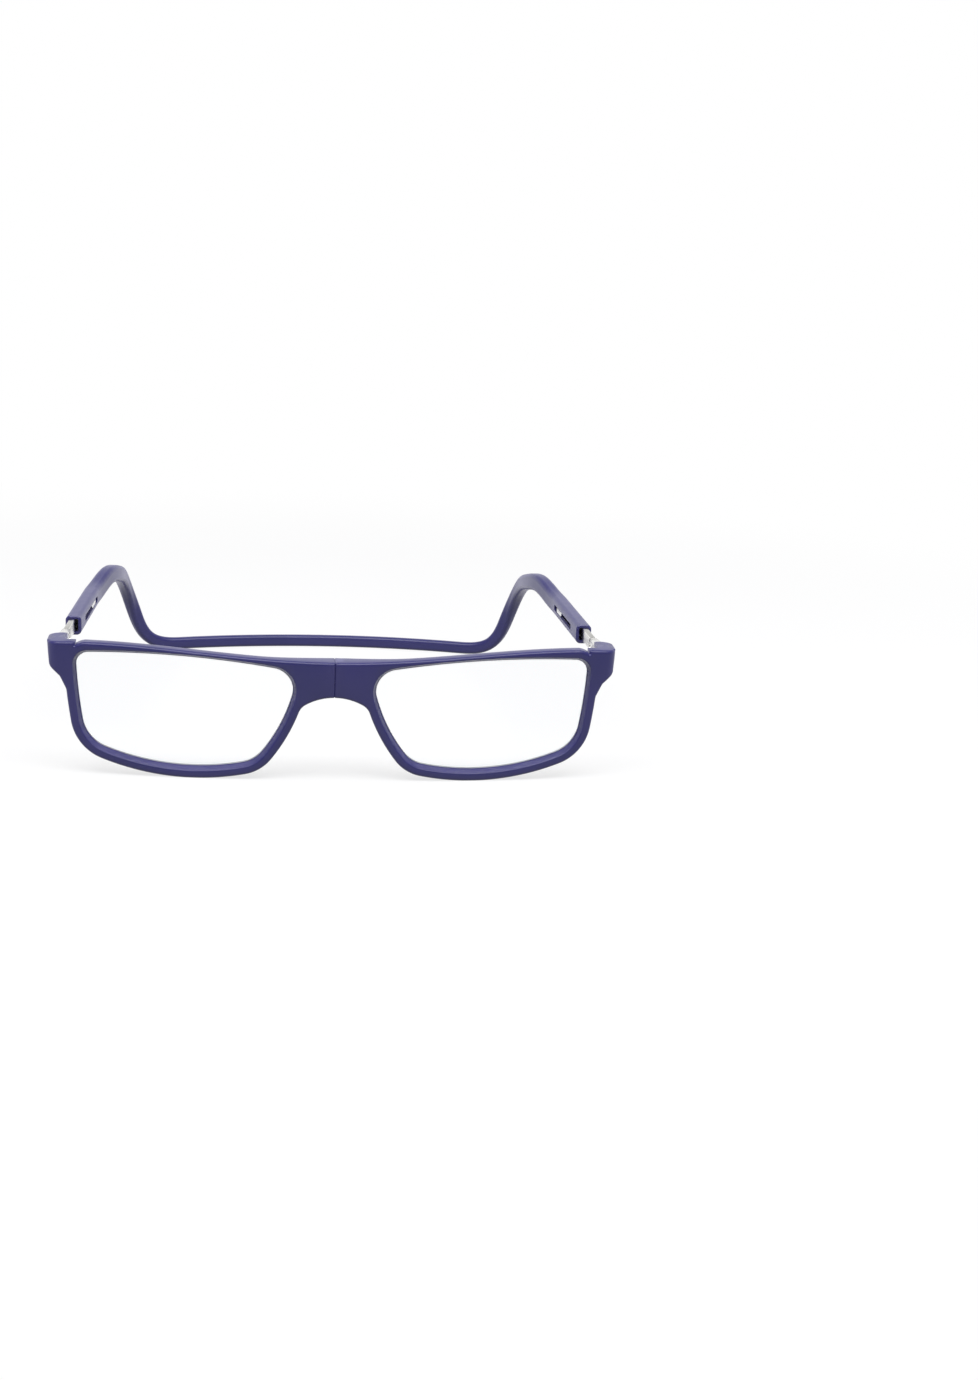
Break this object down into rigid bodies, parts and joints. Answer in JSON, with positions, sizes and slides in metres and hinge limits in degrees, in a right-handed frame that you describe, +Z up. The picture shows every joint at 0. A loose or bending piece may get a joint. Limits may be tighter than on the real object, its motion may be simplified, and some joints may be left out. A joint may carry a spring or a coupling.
{
  "type": "magnetic bridge reading glasses",
  "caption": "Reading glasses whose front splits at a magnetic bridge, with one-piece headband, ear humps, metal slide bars and hinges.",
  "frame": {"origin": "middle of the glasses' footprint on the surface that the rims and the rear band stand on", "axes": "+X across the face to the right half in the picture, -Y out of the lenses' front, +Z up towards the brow"},
  "size_m": [0.145, 0.157, 0.0352],
  "materials": {
    "front_plastic": "soft-touch matt navy violet",
    "band_plastic": "soft-touch matt navy violet",
    "lens": "clear polished",
    "magnet_metal": "nickel plated",
    "hinge_metal": "satin",
    "slider_metal": "satin nickel",
    "screw_metal": "bright"
  },
  "bodies": {
    "headband": {"headband": "band_plastic"},
    "slider_left": {"hinge_wedge_left": "slider_metal", "slide_bar_left": "slider_metal", "bar_rivet_left": "screw_metal", "slide_catch_left": "slider_metal"},
    "front_half_left": {"front_left": "front_plastic", "lens_left": "lens", "magnet_left": "magnet_metal", "hinge_leaf_left": "hinge_metal", "hinge_screw_left": "screw_metal"},
    "slider_right": {"hinge_wedge_right": "slider_metal", "slide_bar_right": "slider_metal", "bar_rivet_right": "screw_metal", "slide_catch_right": "slider_metal"},
    "front_half_right": {"front_right": "front_plastic", "lens_right": "lens", "magnet_right": "magnet_metal", "hinge_leaf_right": "hinge_metal", "hinge_screw_right": "screw_metal"}
  },
  "joints": [
    {"name": "slide_left", "type": "slide", "parent": "headband", "child": "slider_left", "axis": [0, -1, 0], "range_m": [-0.0035, 0.017]},
    {"name": "slide_right", "type": "slide", "parent": "headband", "child": "slider_right", "axis": [0, -1, 0], "range_m": [-0.0035, 0.017]},
    {"name": "bridge_open_left", "type": "hinge", "parent": "slider_left", "child": "front_half_left", "pos_m": [-0.0698, -0.0648, 0.03075], "axis": [0, 0, 1], "range_deg": [-60, 0]},
    {"name": "bridge_open_right", "type": "hinge", "parent": "slider_right", "child": "front_half_right", "pos_m": [0.0698, -0.0648, 0.03075], "axis": [0, 0, 1], "range_deg": [0, 60]}
  ],
  "couplings": [
    {"joint": "slide_right", "follows": "slide_left", "ratio": 1},
    {"joint": "bridge_open_left", "follows": "bridge_open_right", "ratio": -1}
  ]
}
